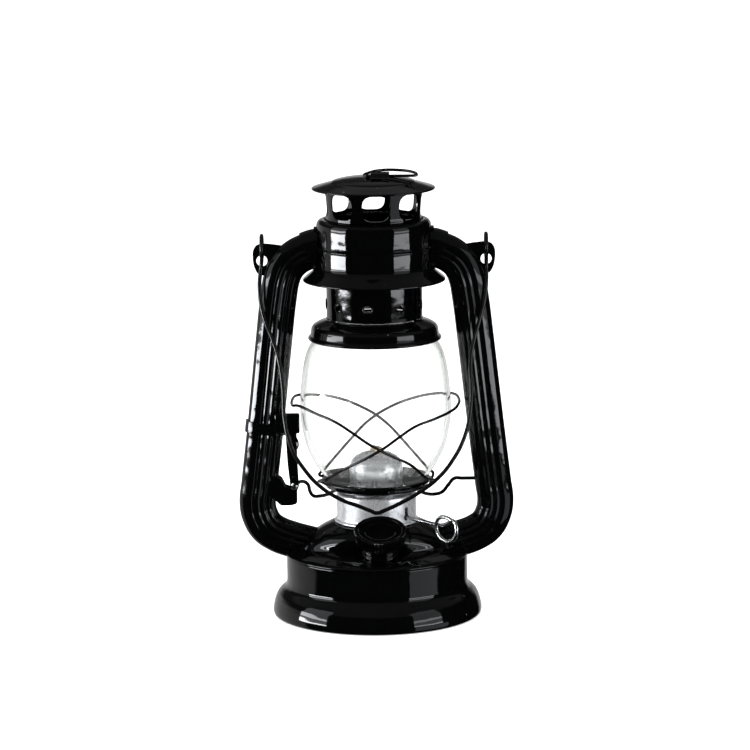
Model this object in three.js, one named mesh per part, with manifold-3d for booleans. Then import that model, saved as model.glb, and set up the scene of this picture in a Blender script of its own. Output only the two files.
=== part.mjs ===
// Small tubular hurricane oil lamp, in millimetres, +Z up.
// The origin is the centre of the foot, on the surface that the lamp stands on.
// The bail hangs in front (-Y) and the fuel cap faces the front as well.
import * as THREE from 'three';
import { mergeVertices } from 'three/addons/utils/BufferGeometryUtils.js';
import Module from 'manifold-3d';

const wasm = await Module();
wasm.setup();

// ---------- driving dimensions ----------
const GAP = 0.3;                 // clearance between pieces that touch
const SHEET = 0.8;               // sheet metal of the tank, crown and hood
const FOOT_R = 57.1;               // rolled rim that the lamp stands on
const TANK_R = 49.4;
const SEAM_Z = 32.9;             // folded seam between tank body and tank top
const CHAMBER_TOP_Z = 50.6;      // flat seat that the burner stands on
const CHAMBER_TOP_R = 22.6;
const TUBE_WIDTH = 20;           // flat-oval side tubes, in the plane of the frame
const TUBE_DEPTH = 14.6;
const TUBE_WALL = 1;
const TUBE_STEPS = 24;
const CROWN_R = 31;
const CROWN_TOP_Z = 217;
const CROWN_SEAM_Z = 201.8;
const SKIRT_R = 38.6;
const SKIRT_Z = 183.6;
const FLUE_R = 26;               // chimney tube and hood neck
const FLUE_LOW_Z = 162.6;
const BELL_RIM_R = 36.2;
const BELL_RIM_Z = 152.1;
const HOOD_R = 33.4;
const HOOD_RIM_Z = 233.6;
const HOOD_TOP_Z = 240.2;
const BAIL_PIVOT_Z = 201.5;      // centre of the bail's two wire eyes
const BAIL_EYE_X = 60.5;
const BAIL_EYE_R = 6.7;
const BAIL_WIRE_R = 1.1;
const BAIL_TILT = THREE.MathUtils.degToRad(14);
const EAR_THICK = 1.1;
const PLATE_R = 29.6;            // dish that carries the globe
const PLATE_Z = 69.3;
const GUARD_WIRE_R = 0.8;
const LIFT_WIRE_R = 1;
const LIFT_PIVOT_X = 54;          // the lift wire rocks in a hole in the right tube
const LIFT_PIVOT_Z = 73.6;
const DRUM_R = 21.7;
const DRUM_TOP_Z = 67;
const BURNER_TURN = THREE.MathUtils.degToRad(-50.5);   // the spindle points to the front right
const SPINDLE_Z = 55.3;
const SPINDLE_SIDE = 3.3;        // spindle axis beside the wick
const SPINDLE_R = 1.1;
const WICK_WIDTH = 8;
const WICK_THICK = 1.6;
const CAP_POS = [1.8, -32.4, 37.3];                    // foot of the filler neck
const CAP_TILT = THREE.MathUtils.degToRad(20);
const SPRING_R = 28.1;
const SPRING_WIRE_R = 0.6;
const SPRING_TURNS = 5;
const STOP_RING_Z = 186;
const ROUND = 24;                // segments of a large round piece
const SMALL = 18;                // segments of a small round piece

// ---------- materials ----------
const enamel = () => new THREE.MeshStandardMaterial({ color: 0x0a0a0c, roughness: 0.12, metalness: 0.1 });
const zinc = () => new THREE.MeshStandardMaterial({ color: 0xc3c7cb, roughness: 0.35, metalness: 0.9 });
const steel = () => new THREE.MeshStandardMaterial({ color: 0xd6d8da, roughness: 0.2, metalness: 1 });
const blackWire = () => new THREE.MeshStandardMaterial({ color: 0x0d0d0f, roughness: 0.25, metalness: 0.2 });
const glass = () => new THREE.MeshStandardMaterial({
  color: 0xe8f0ee, roughness: 0.03, metalness: 0, transparent: true, opacity: 0.25,
});
const cotton = () => new THREE.MeshStandardMaterial({ color: 0xe9dcc0, roughness: 0.95, metalness: 0 });
const rubber = () => new THREE.MeshStandardMaterial({ color: 0x2a2624, roughness: 0.8, metalness: 0 });

// ---------- closed bodies ----------
function signedVolume(geometry) {
  const p = geometry.getAttribute('position');
  const index = geometry.index.array;
  const [a, b, c] = [new THREE.Vector3(), new THREE.Vector3(), new THREE.Vector3()];
  let sum = 0;
  for (let i = 0; i < index.length; i += 3) {
    a.fromBufferAttribute(p, index[i]);
    b.fromBufferAttribute(p, index[i + 1]);
    c.fromBufferAttribute(p, index[i + 2]);
    sum += a.dot(b.cross(c)) / 6;
  }
  return sum;
}

// Shared corners are merged, thin air is dropped and every face is turned outwards.
function closed(geometry) {
  const bare = geometry.clone();
  bare.deleteAttribute('normal');
  bare.deleteAttribute('uv');
  const merged = mergeVertices(bare, 1e-4);
  const source = merged.index.array;
  const kept = [];
  for (let i = 0; i < source.length; i += 3) {
    const [a, b, c] = [source[i], source[i + 1], source[i + 2]];
    if (a !== b && b !== c && a !== c) kept.push(a, b, c);
  }
  merged.setIndex(kept);
  if (signedVolume(merged) < 0) {
    for (let i = 0; i < kept.length; i += 3) [kept[i], kept[i + 1]] = [kept[i + 1], kept[i]];
    merged.setIndex(kept);
  }
  return merged;
}

function toSolid(geometry) {
  const body = closed(geometry);
  return new wasm.Manifold(new wasm.Mesh({
    numProp: 3,
    vertProperties: new Float32Array(body.getAttribute('position').array),
    triVerts: new Uint32Array(body.index.array),
  }));
}

function toGeometry(solid) {
  const mesh = solid.getMesh();
  const geometry = new THREE.BufferGeometry();
  geometry.setAttribute('position', new THREE.BufferAttribute(mesh.vertProperties, 3));
  geometry.setIndex(new THREE.BufferAttribute(mesh.triVerts, 1));
  return geometry;
}

const cut = (body, ...tools) => toGeometry(tools.reduce((s, t) => s.subtract(toSolid(t)), toSolid(body)));
const join = (body, ...others) => toGeometry(others.reduce((s, t) => s.add(toSolid(t)), toSolid(body)));

// ---------- shape helpers ----------
// A turned piece from a closed outline of [radius, height] corners.
function turned(outline, segments = ROUND) {
  const points = [...outline, outline[0]].map(([r, z]) => new THREE.Vector2(r, z));
  return closed(new THREE.LatheGeometry(points, segments).rotateX(Math.PI / 2));
}

function ring(innerR, outerR, lowZ, highZ, segments = SMALL) {
  return turned([[innerR, lowZ], [outerR, lowZ], [outerR, highZ], [innerR, highZ]], segments);
}

function curve(points) {
  return new THREE.CatmullRomCurve3(points.map((p) => new THREE.Vector3(...p)), false, 'centripetal');
}

function polygon(count, a, b = a, start = 0) {
  return Array.from({ length: count }, (_, i) => {
    const angle = start + 2 * Math.PI * i / count;
    return new THREE.Vector2(a * Math.cos(angle), b * Math.sin(angle));
  });
}

function wire(points, radius, steps, sides = 5) {
  const section = new THREE.Shape(polygon(sides, radius));
  const path = points.isCurve ? points : curve(points);
  return closed(new THREE.ExtrudeGeometry(section, { extrudePath: path, steps, bevelEnabled: false }));
}

function plate(outline, thickness, holes = []) {
  const shape = new THREE.Shape(outline.map(([x, y]) => new THREE.Vector2(x, y)));
  for (const [x, y, r] of holes) {
    shape.holes.push(new THREE.Path(polygon(12, r).map((p) => p.add(new THREE.Vector2(x, y))).reverse()));
  }
  return new THREE.ExtrudeGeometry(shape, { depth: thickness, bevelEnabled: false });
}

// A plate drawn in X and Z, standing in the plane of the frame with its middle at the given Y.
function uprightPlate(outline, thickness, y, holes = []) {
  return closed(plate(outline, thickness, holes).rotateX(Math.PI / 2).translate(0, y + thickness / 2, 0));
}

function rod(radius, length, segments = 12) {
  return new THREE.CylinderGeometry(radius, radius, length, segments);
}

function part(name, geometry, material) {
  const mesh = new THREE.Mesh(closed(geometry), material);
  mesh.name = name;
  return mesh;
}

// ---------- tank ----------
const tankOuter = [
  [54.3, 0], [56, 0], [56.8, 0.5], [FOOT_R, 1.8], [56.9, 4], [56.3, 6.8], [55.3, 9.8], [53.8, 12.2], [51.5, 14.4],
  [50, 16.6], [TANK_R, 19.4], [TANK_R, SEAM_Z],
];

function tankBody() {
  const inner = [
    [TANK_R - SHEET, SEAM_Z], [TANK_R - SHEET, 19.2], [49.3, 16], [51, 13.7], [53.2, 11.5], [54.6, 9.3], [55.5, 6.6],
    [56, 4], [55, 2.4],
  ];
  return turned([...tankOuter, ...inner]);
}

function tankBottom() {
  return turned([[0, 7], [46, 7], [46.8, 11], [48, 11], [47.2, 6.2], [0, 6.2]]);
}

const SHOULDER = [
  [TANK_R + 0.7, SEAM_Z + GAP], [TANK_R + 0.7, 34.1], [48.4, 35.2], [43.6, 36.6], [34, 38.2], [24, 39.2], [12, 39.6],
];

function tankTop() {
  const inner = [[12, 38.8], [24, 38.4], [34, 37.4], [43.6, 35.8], [48.1, 34.2], [48.2, SEAM_Z + GAP]];
  const neckHole = tilted(rod(7.6, 30, SMALL).rotateX(Math.PI / 2));
  return cut(turned([...SHOULDER, ...inner]), neckHole);
}

// Everything up to the tank's outside, grown by the clearance.
function tankEnvelope() {
  const body = tankOuter.slice(3, -1).map(([r, z]) => [r + GAP, z]);
  const top = SHOULDER.map(([r, z]) => [r + GAP, z + GAP]);
  return turned([[0, 0], [FOOT_R, 0], ...body, [TANK_R + GAP, 32], [TANK_R + 1, 32.6], ...top, [0, 40]]);
}

// ---------- air chamber and side tubes ----------
const CHAMBER_OUTLINE = [
  [CHAMBER_TOP_R, CHAMBER_TOP_Z], [26, 49.6], [31, 47.4], [36, 44], [41, 39.4], [46, 33.4],
];
const CHAMBER_FRONT = 0.66;      // the chamber is narrower from front to back at its foot

function chamberSolid(grow) {
  const outer = CHAMBER_OUTLINE.map(([r, z]) => [r + grow, z + grow]);
  const solid = turned([[0, CHAMBER_TOP_Z + grow], ...outer, [46 + grow, 25], [0, 25]]);
  const p = solid.getAttribute('position');
  for (let i = 0; i < p.count; i += 1) {
    const drop = THREE.MathUtils.clamp((CHAMBER_TOP_Z - p.getZ(i)) / 12, 0, 1);
    p.setY(i, p.getY(i) * (1 - (1 - CHAMBER_FRONT) * drop));
  }
  return solid;
}

const TUBE_ROUTE = [
  [-31, 200.6], [-36, 199.2], [-42, 196.4], [-47, 191.5], [-50, 184.5], [-51.6, 176], [-54.7, 150.5],
  [-59.6, 106.4], [-63.7, 72], [-64.9, 61], [-63.6, 54], [-60, 47.6], [-54.5, 43.6], [-47, 40.6], [-36, 37.3],
];

function tubeCurve(side) {
  return curve(TUBE_ROUTE.map(([x, z]) => [-side * x, 0, z]));
}

function tubeSection(grow) {
  return polygon(12, TUBE_DEPTH / 2 + grow, TUBE_WIDTH / 2 + grow, Math.PI / 12);
}

function tubeAlong(path, grow, steps = TUBE_STEPS, hollow = false) {
  const shape = new THREE.Shape(tubeSection(grow));
  if (hollow) shape.holes.push(new THREE.Path(tubeSection(-TUBE_WALL).reverse()));
  return closed(new THREE.ExtrudeGeometry(shape, { extrudePath: path, steps, bevelEnabled: false }));
}

// Everything inside the crown and its skirt, grown by the clearance.
function crownEnvelope() {
  return turned([
    [0, 183], [SKIRT_R + 0.4, 183], [SKIRT_R + 0.4, 184.6], [33, 189.9], [CROWN_R + 0.6, 192], [CROWN_R + 0.6, 225],
    [0, 225],
  ]);
}

function sideTube(side) {
  const whole = tubeAlong(tubeCurve(side), 0, TUBE_STEPS, true);
  const tools = [crownEnvelope(), chamberSolid(GAP), tankEnvelope()];
  if (side > 0) tools.push(rod(1.7, 4, 8).rotateZ(Math.PI / 2).translate(LIFT_PIVOT_X, 0, LIFT_PIVOT_Z));
  return cut(whole, ...tools);
}

function tubeStub(side, grow, from, to) {
  const whole = tubeCurve(side);
  const points = [0, 0.5, 1].map((t) => whole.getPointAt(from + (to - from) * t).toArray());
  return tubeAlong(curve(points), grow, 4);
}

function airChamber() {
  const bores = [-1, 1].map((side) => tubeAlong(tubeCurve(side), -TUBE_WALL));
  const hollow = chamberSolid(-SHEET - 0.1);
  const seat = turned([[0, 30], [16.6, 30], [16.6, 60], [0, 60]]);
  const neckRoom = tilted(turned([[0, -6], [9.9, -6], [9.9, 16], [0, 16]], SMALL));
  return cut(chamberSolid(0), hollow, seat, tankEnvelope(), neckRoom, ...bores);
}

// An oval ferrule where a side tube meets the crown.
function tubeFerrule(side) {
  return cut(tubeStub(side, 1.9, 0, 0.026), tubeAlong(tubeCurve(side), GAP), crownEnvelope());
}

// ---------- filler neck and fuel cap, drawn upright and tilted to the front ----------
function tilted(geometry) {
  return geometry.rotateX(CAP_TILT).translate(...CAP_POS);
}

function fillerNeck() {
  const beads = [
    [9.2, -4], [9.2, 2.4], [9.6, 3], [9.6, 3.8], [8.7, 4.6], [9.5, 5.4], [9.5, 6.4], [8.7, 7.2], [9.4, 8], [9.4, 9],
    [8.6, 9.6], [8.6, 14],
  ];
  return cut(tilted(turned([...beads, [7.7, 14], [7.7, -4]], SMALL)), tankEnvelope());
}

function capGasket() {
  return ring(5, 10.2, 14.3, 15.2);
}

function fuelCap() {
  return turned([
    [0, 17.2], [9.6, 17.2], [12.2, 16.9], [13.1, 17.8], [14.2, 17], [14.2, 15.4], [13.1, 14], [12.8, 10.4],
    [11.7, 10.4], [11.7, 15.5], [0, 15.5],
  ], SMALL);
}

// ---------- crown ----------
function tubePorts() {
  return [-1, 1].map((side) => tubeStub(side, -TUBE_WALL, 0, 0.08).translate(side * -3, 0, 0.8));
}

function crownUpper() {
  const wall = turned([
    [CROWN_R, CROWN_SEAM_Z + GAP], [CROWN_R, 215], [30.4, 216.4], [29, CROWN_TOP_Z], [26.6, CROWN_TOP_Z],
    [26.6, 216.2], [28.8, 216.2], [29.8, 215.8], [CROWN_R - SHEET, 214.8], [CROWN_R - SHEET, CROWN_SEAM_Z + GAP],
  ]);
  return cut(wall, ...tubePorts());
}

function crownLower() {
  const wall = turned([
    [CROWN_R + 0.2, CROWN_SEAM_Z], [CROWN_R + 0.2, 191.4], [32.6, 189.4], [SKIRT_R, 184.2], [SKIRT_R, SKIRT_Z],
    [37.8, SKIRT_Z], [31.8, 188.8], [CROWN_R - 0.6, 190.8], [CROWN_R - 0.6, CROWN_SEAM_Z],
  ]);
  return cut(wall, ...tubePorts());
}

// ---------- chimney: bell, flue, hood ----------
function bell() {
  return turned([
    [FLUE_R + 0.3, FLUE_LOW_Z], [30.8, 160.7], [33.6, 159.2], [34.4, 157.8], [34.9, 154.2], [35.8, 153.1],
    [BELL_RIM_R, BELL_RIM_Z], [35.8, 151.5], [35, 151.6], [34.1, 153.8], [33.6, 157.4], [33, 158.4], [30.4, 159.8],
    [25.2, 161.9],
  ]);
}

function chimneyTube() {
  const tube = ring(FLUE_R - SHEET, FLUE_R, FLUE_LOW_Z + GAP, 216.6, ROUND);
  const drills = Array.from({ length: 9 }, (_, i) => (
    rod(2.3, 8, 8).rotateZ(Math.PI / 2).translate(FLUE_R, 0, 171).rotateZ((i + 0.55) * Math.PI / 4.5)
  ));
  return cut(tube, ...drills);
}

function springStop() {
  return ring(FLUE_R + GAP, 29.3, STOP_RING_Z, STOP_RING_Z + 1.2, ROUND);
}

function chimneySpring() {
  const low = STOP_RING_Z + 1.2 + GAP + SPRING_WIRE_R;
  const high = 216.2 - 0.8 - SPRING_WIRE_R;
  const count = SPRING_TURNS * 11;
  const points = Array.from({ length: count + 1 }, (_, i) => {
    const angle = 2 * Math.PI * SPRING_TURNS * i / count;
    return [SPRING_R * Math.cos(angle), SPRING_R * Math.sin(angle), low + (high - low) * i / count];
  });
  return wire(points, SPRING_WIRE_R, count);
}

function hoodNeck() {
  const tube = turned([[FLUE_R, 216.9], [27.2, 234.4], [26.4, 234.4], [FLUE_R - SHEET, 216.9]]);
  const windows = Array.from({ length: 8 }, (_, i) => {
    const shape = new THREE.Shape([
      [-7.4, -3.6], [-6, -5.9], [-3, -6.7], [3, -6.7], [6, -5.9], [7.4, -3.6], [7.4, 3.6], [6, 5.9], [3, 6.7],
      [-3, 6.7], [-6, 5.9], [-7.4, 3.6],
    ].map(([x, y]) => new THREE.Vector2(x, y)));
    const punch = new THREE.ExtrudeGeometry(shape, { depth: 10, bevelEnabled: false });
    return punch.rotateX(Math.PI / 2).translate(0, -20, 225.4).rotateZ((i + 0.06) * Math.PI / 4);
  });
  return cut(tube, ...windows);
}

function hoodCap() {
  return turned([
    [0, HOOD_TOP_Z], [10, 239.9], [16, 239.1], [21.4, 237.9], [24, 236.7], [29, 235.3], [32.8, 234.3],
    [HOOD_R, HOOD_RIM_Z], [32.8, 233.1], [28.8, 234.4], [23.6, 235.8], [21, 237], [15.8, 238.2], [9.9, 239], [0, 239.3],
  ]);
}

const RING_PIVOT = [8.6, -8, 241];

function hoodRingStrap() {
  const [x, y, z] = RING_PIVOT;
  const outline = [
    [y - 5.6, 239.8], [y - 2.5, 240.2], [y - 1.9, z + 0.9], [y, z + 1.5], [y + 1.9, z + 0.9], [y + 2.5, 240.5],
    [y + 6, 240.6], [y + 6, 241.3], [y + 3.1, 241.2], [y + 2.5, z + 1.6], [y, z + 2.3], [y - 2.5, z + 1.6],
    [y - 3.1, 240.9], [y - 5.6, 240.6],
  ];
  const strap = plate(outline, 10).rotateX(Math.PI / 2).rotateZ(Math.PI / 2).translate(x - 10, 0, 0);
  return strap;
}

function hoodRing() {
  const [x, y, z] = RING_PIVOT;
  return wire([
    [x - 8, y, z], [x - 13, y + 1, z + 0.1], [x - 12, y + 6, z + 0.7], [x - 5, y + 13.2, z + 1.4],
    [x + 5, y + 13.6, z + 1.4], [x + 13, y + 8, z + 0.9], [x + 14.6, y + 2.4, z + 0.3], [x + 11, y, z], [x + 4, y, z],
    [x - 3, y, z], [x - 6.4, y, z],
  ], 0.8, 34);
}

// ---------- bail and its ears ----------
function bailEar(side) {
  const shoulder = tubeAlong(tubeCurve(-1), GAP);
  const blank = uprightPlate([
    [-45, 203], [-62.8, 203], [-64.9, 201.2], [-65.6, 197], [-64.6, 191], [-62.6, 186.6], [-56, 186.6], [-45, 195],
  ], EAR_THICK, 0, [[-BAIL_EYE_X, 194.6, 3]]);
  const left = cut(blank, shoulder);
  return side < 0 ? left : left.scale(-1, 1, 1);
}

const BAIL_LEFT = [
  [-61.9, 21.9], [-59.7, 37.3], [-55.8, 47.9], [-52.1, 59.5], [-49.6, 77.5], [-49, 92.9], [-45.1, 108.9],
  [-38.7, 119.5], [-31.2, 128], [-20.4, 135.4], [-9.6, 139.7], [-1.4, 143.2],
];
const BAIL_RIGHT = [
  [1.8, 143.3], [12, 138.7], [22.8, 132.8], [33.5, 124.8], [42.1, 114.1], [47.5, 103.5], [50.4, 92.9], [51.6, 82.3],
  [51.6, 60.5], [53.8, 49.4], [56.6, 39.7], [59, 30.5], [60.4, 20],
];

// The wire circles round each ear as an eye and then runs down as the handle.
function bail() {
  const eye = (side) => Array.from({ length: 11 }, (_, i) => {
    const angle = BAIL_TILT + THREE.MathUtils.degToRad(15 + 30.5 * i);
    return [side * BAIL_EYE_X, -BAIL_EYE_R * Math.sin(angle), BAIL_PIVOT_Z - BAIL_EYE_R * Math.cos(angle)];
  });
  const handle = ([x, s]) => [x, -s * Math.sin(BAIL_TILT), BAIL_PIVOT_Z - s * Math.cos(BAIL_TILT)];
  const leftEye = eye(-1).reverse();
  const rightEye = eye(1);
  return wire([...leftEye, ...BAIL_LEFT.map(handle), ...BAIL_RIGHT.map(handle), ...rightEye], BAIL_WIRE_R, 120);
}

// ---------- globe, its plate and its wire guard ----------
function globePlate() {
  return turned([
    [16.2, PLATE_Z], [25, PLATE_Z], [27.6, 70.4], [28.8, 72.4], [PLATE_R, 73.2], [PLATE_R, 74.4], [28.9, 75],
    [28.1, 74.6], [27.9, 72.8], [27, 71.2], [24.8, PLATE_Z + 0.9], [17.1, PLATE_Z + 0.9], [17.1, 71.4], [16.2, 71.4],
  ]);
}

function globe() {
  const outer = [
    [24.2, 70.6], [25.8, 71.6], [27.2, 75], [30, 78.6], [34.3, 85.3], [37.6, 92.5], [39.7, 100.8], [41, 109],
    [41, 118], [40.3, 125.7], [39, 136.8], [37, 145], [33.2, 151.2], [28.6, 155.6], [25.6, 157.8],
  ];
  const inner = outer.map(([r, z], i) => [r - 1.5, z + (i < 4 ? 0.3 : 0)]).reverse();
  return turned([...outer, ...inner]);
}

const GUARD_SIDE = [
  [-27.4, -13.8, 72.8], [-30.4, -8.8, 74.2], [-27, -20, 78.2], [-17.6, -32.2, 85.8], [-6.8, -39.4, 92.4],
  [4, -42.2, 99], [12.4, -43, 105.2], [20.8, -41.8, 110.6], [31.6, -35.6, 113.6], [41, -24.2, 115.8],
  [44.9, -10.4, 117], [45.3, 3, 117.4], [42.4, 19.6, 117],
  [33.6, 33.2, 114.6], [21, 41.2, 110.6], [9, 44.4, 105.4], [-2.8, 44.4, 98.4], [-14.4, 36.6, 88.4],
  [-24.6, 23.6, 79.4], [-30.4, 9.2, 74.2], [-27.4, 14, 72.8],
];

// Each wire runs round the globe from one low corner, behind or in front of the other one.
function guardWire(side) {
  const points = GUARD_SIDE.map(([x, y, z]) => {
    const crossing = Math.abs(x) < 24 ? 1 : 0;
    const shift = side > 0 ? 0 : (y < 0 ? -3.8 : 2.2) * crossing;
    const higher = side < 0 && y < -20 && z > 80 ? 3.4 : 0;
    return [side * x, y + shift, z + higher];
  });
  return wire(points, GUARD_WIRE_R, 56);
}

// ---------- globe lift ----------
function liftWire() {
  const rear = Array.from({ length: 9 }, (_, i) => {
    const angle = Math.PI * (0.06 + 0.88 * i / 8);
    return [26.4 * Math.cos(angle), 26.4 * Math.sin(angle), 64.5];
  });
  return wire([
    [LIFT_PIVOT_X + 1.4, 0, LIFT_PIVOT_Z], [47, 0, LIFT_PIVOT_Z], [42.5, 0, 73.5], [39.3, 0, 70],
    [35.8, 0, 66], [31.4, 0.6, 64.7], ...rear,
    [-31, 0.6, 64.3], [-34.4, 0, 64.6], [-36.2, 0, 67], [-37.3, -0.2, 71], [-40, -1, 72.9], [-43, -2.8, 72.4],
    [-44.7, -5.2, 71.6], [-44.7, -9, 71.6],
  ], LIFT_WIRE_R, 60);
}

// The pull strip hangs in front of the left tube's inner edge, with an eye for the lift wire.
function liftStrip() {
  const blade = uprightPlate([
    [-46.4, 69.2], [-44.7, 68.5], [-43, 69.2], [-42, 71.6], [-42.9, 99], [-42.9, 108.5], [-48.9, 108.5],
    [-48.9, 99], [-47.2, 74.6], [-47, 71.6],
  ], 0.9, -7.4, [[-44.7, 71.6, 1.75]]);
  return blade;
}

// A hairpin spring under the clip presses on the strip, so that it stays where it is put.
function clipSpring() {
  return wire([
    [-43.9, -8.9, 100.6], [-43.3, -8.9, 99], [-42.3, -8.9, 96.4], [-42.5, -8.9, 93.6], [-44, -8.9, 92.2],
    [-45.6, -8.9, 93.8], [-46.2, -8.9, 97], [-46.4, -8.9, 100.4],
  ], 0.5, 16);
}

// A clip bent round the front of the left tube carries the guide that the strip slides in.
function liftClip() {
  const path = tubeCurve(-1);
  const start = 0.535;            // the band sits half way down the tube
  const band = [start, start + 6 / path.getLength()].map((u) => path.getPointAt(u).toArray());
  const wrap = tubeAlong(curve(band), 1.1 + GAP, 2);
  const guide = new THREE.BoxGeometry(13.6, 4.4, 10.8).translate(-48, -7.4, 106.5);
  const slot = new THREE.BoxGeometry(7.8, 1.9, 20).translate(-45.7, -7.4, 106);
  return cut(join(wrap, guide), tubeAlong(path, GAP), slot);
}

// A folded bracket low on the tube is the stop that the strip comes down on.
function liftBracket() {
  const blank = uprightPlate([
    [-58, 77.5], [-53.4, 76.4], [-51.4, 75], [-49.4, 71], [-47.2, 70.2], [-43.1, 69.9], [-43.1, 61.9],
    [-46.4, 60.6], [-51.9, 60.6], [-58, 66],
  ], 8.2, -2.2);
  const inside = uprightPlate([[-60, 80], [-44.1, 80], [-44.1, 50], [-60, 50]], 6.4, -2.2);
  return cut(blank, inside, tubeAlong(tubeCurve(-1), GAP));
}

// ---------- burner ----------
function turnedBurner(geometry) {
  return geometry.rotateZ(BURNER_TURN);
}

function burnerDrum() {
  const shell = turned([
    [13.4, 42], [13.4, CHAMBER_TOP_Z + GAP], [22.9, CHAMBER_TOP_Z + GAP], [22.9, 51.8], [DRUM_R, 52.3],
    [DRUM_R, 66], [21, DRUM_TOP_Z], [15.6, DRUM_TOP_Z], [15.6, 66.3], [20.6, 66.3], [21, 65.6], [21, 52],
    [12.4, 52], [12.4, 42],
  ]);
  const hole = rod(1.9, 8, 10).rotateZ(Math.PI / 2).translate(DRUM_R - 1, SPINDLE_SIDE, SPINDLE_Z);
  const slot = new THREE.BoxGeometry(8, 2.6, 4).translate(DRUM_R - 1, SPINDLE_SIDE, SPINDLE_Z + 2);
  return cut(shell, turnedBurner(hole), turnedBurner(slot));
}

function burnerCollar() {
  return ring(13.8, 15.6, 39.9, 47);
}

function burnerPlate() {
  const disc = ring(6.4, 15.2, 66.4, 67.2);
  const holes = Array.from({ length: 10 }, (_, i) => (
    rod(1.1, 4, 6).rotateX(Math.PI / 2).translate(11, 0, 66.8).rotateZ((i + 0.5) * Math.PI / 5)
  ));
  return cut(disc, ...holes);
}

function burnerCone() {
  const shell = turned([
    [14.6, 67.6], [14.6, 81.6], [13.6, 84], [11.6, 86.2], [8, 88.4], [0, 89.6], [0, 88.8], [7.8, 87.6], [11, 85.6],
    [12.9, 83.6], [13.9, 81.4], [13.9, 67.6],
  ], 24);
  const slot = new THREE.BoxGeometry(12, 6, 20).translate(0, 0, 90);
  return cut(shell, turnedBurner(slot));
}

function flatTube(width, thick, wall, lowZ, highZ) {
  const outer = new THREE.BoxGeometry(width, thick, highZ - lowZ).translate(0, 0, (highZ + lowZ) / 2);
  const bore = new THREE.BoxGeometry(width - 2 * wall, thick - 2 * wall, 200).translate(0, 0, 60);
  const wheelRoom = rod(2.7, 6.4).rotateZ(Math.PI / 2).translate(0, SPINDLE_SIDE, SPINDLE_Z);
  return cut(outer, bore, wheelRoom);
}

function wickTube() {
  return turnedBurner(flatTube(WICK_WIDTH + 1.6, WICK_THICK + 1.6, 0.5, 47.6, 84));
}

function wick() {
  const strip = new THREE.BoxGeometry(WICK_WIDTH, WICK_THICK, 76).translate(0, 0, 54);
  return turnedBurner(strip);
}

function wickWheels() {
  const wheels = [-1.9, 1.9].map((x) => {
    const outline = Array.from({ length: 20 }, (_, i) => {
      const r = i % 2 ? 2.2 : 1.75;
      const angle = Math.PI * i / 10;
      return new THREE.Vector2(r * Math.cos(angle), r * Math.sin(angle));
    });
    const bore = new THREE.Path(polygon(8, SPINDLE_R + 0.28).reverse());
    const shape = new THREE.Shape(outline);
    shape.holes.push(bore);
    const wheel = new THREE.ExtrudeGeometry(shape, { depth: 1.2, bevelEnabled: false });
    return wheel.rotateY(Math.PI / 2).translate(x - 0.6, 0, 0);
  });
  const sleeve = ringAlongX(SPINDLE_R + 0.28, 1.6, 4.2);
  return turnedBurner(join(sleeve, ...wheels).translate(0, SPINDLE_SIDE, SPINDLE_Z));
}

function ringAlongX(innerR, outerR, length) {
  return ring(innerR, outerR, -length / 2, length / 2, 8).rotateY(Math.PI / 2);
}

function wickSpindle() {
  const loop = Array.from({ length: 15 }, (_, i) => {
    const angle = THREE.MathUtils.degToRad(30 - i * 20);
    return [56.4 + 7.4 * Math.cos(angle), -0.4 - 0.18 * i, -0.5 + 6.8 * Math.sin(angle)];
  });
  const rodPoints = [
    [-5, 0, 0], [10, 0, 0], [25, 0, 0], [38, 0, 0], [45, 0, 0], [50, 0, 0.3], [54.4, 0, 1.7], [58.8, -0.1, 4.1],
    [61.2, -0.2, 4.2],
  ];
  const spindle = wire([...rodPoints, ...loop, [60, -3.1, 6.1], [63.4, -3.2, 5.2]], SPINDLE_R, 64);
  return turnedBurner(spindle.translate(0, SPINDLE_SIDE, SPINDLE_Z));
}

// ---------- assembly ----------
const lamp = new THREE.Group();
lamp.name = 'oil_lamp';

const tank = new THREE.Group();
tank.add(
  part('tank_body', tankBody(), enamel()),
  part('tank_bottom', tankBottom(), enamel()),
  part('tank_top', tankTop(), enamel()),
  part('air_chamber', airChamber(), enamel()),
  part('burner_collar', burnerCollar(), zinc()),
  part('filler_neck', fillerNeck(), enamel()),
);
lamp.add(tank);

const filler = new THREE.Group();
filler.position.set(...CAP_POS);
filler.rotation.x = CAP_TILT;
filler.add(part('cap_gasket', capGasket(), rubber()), part('fuel_cap', fuelCap(), enamel()));
lamp.add(filler);

const frame = new THREE.Group();
for (const [side, word] of [[-1, 'left'], [1, 'right']]) {
  frame.add(
    part(`${word}_side_tube`, sideTube(side), enamel()),
    part(`${word}_tube_ferrule`, tubeFerrule(side), enamel()),
    part(`${word}_bail_ear`, bailEar(side), enamel()),
  );
}
frame.add(
  part('crown_upper_shell', crownUpper(), enamel()),
  part('crown_lower_shell', crownLower(), enamel()),
  part('chimney_spring', chimneySpring(), steel()),
);
lamp.add(frame);

const chimney = new THREE.Group();
chimney.add(
  part('globe_bell', bell(), enamel()),
  part('chimney_tube', chimneyTube(), enamel()),
  part('spring_stop_ring', springStop(), zinc()),
  part('hood_neck', hoodNeck(), enamel()),
  part('hood_cap', hoodCap(), enamel()),
  part('hood_ring_strap', hoodRingStrap(), enamel()),
  part('hood_ring', hoodRing(), blackWire()),
);
lamp.add(chimney);

const lift = new THREE.Group();
lift.add(
  part('globe_plate', globePlate(), enamel()),
  part('globe', globe(), glass()),
  part('guard_wire_left', guardWire(1), blackWire()),
  part('guard_wire_right', guardWire(-1), blackWire()),
  part('lift_wire', liftWire(), blackWire()),
  part('lift_strip', liftStrip(), enamel()),
  part('clip_spring', clipSpring(), blackWire()),
  part('lift_clip', liftClip(), enamel()),
  part('lift_bracket', liftBracket(), enamel()),
);
lamp.add(lift);

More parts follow.
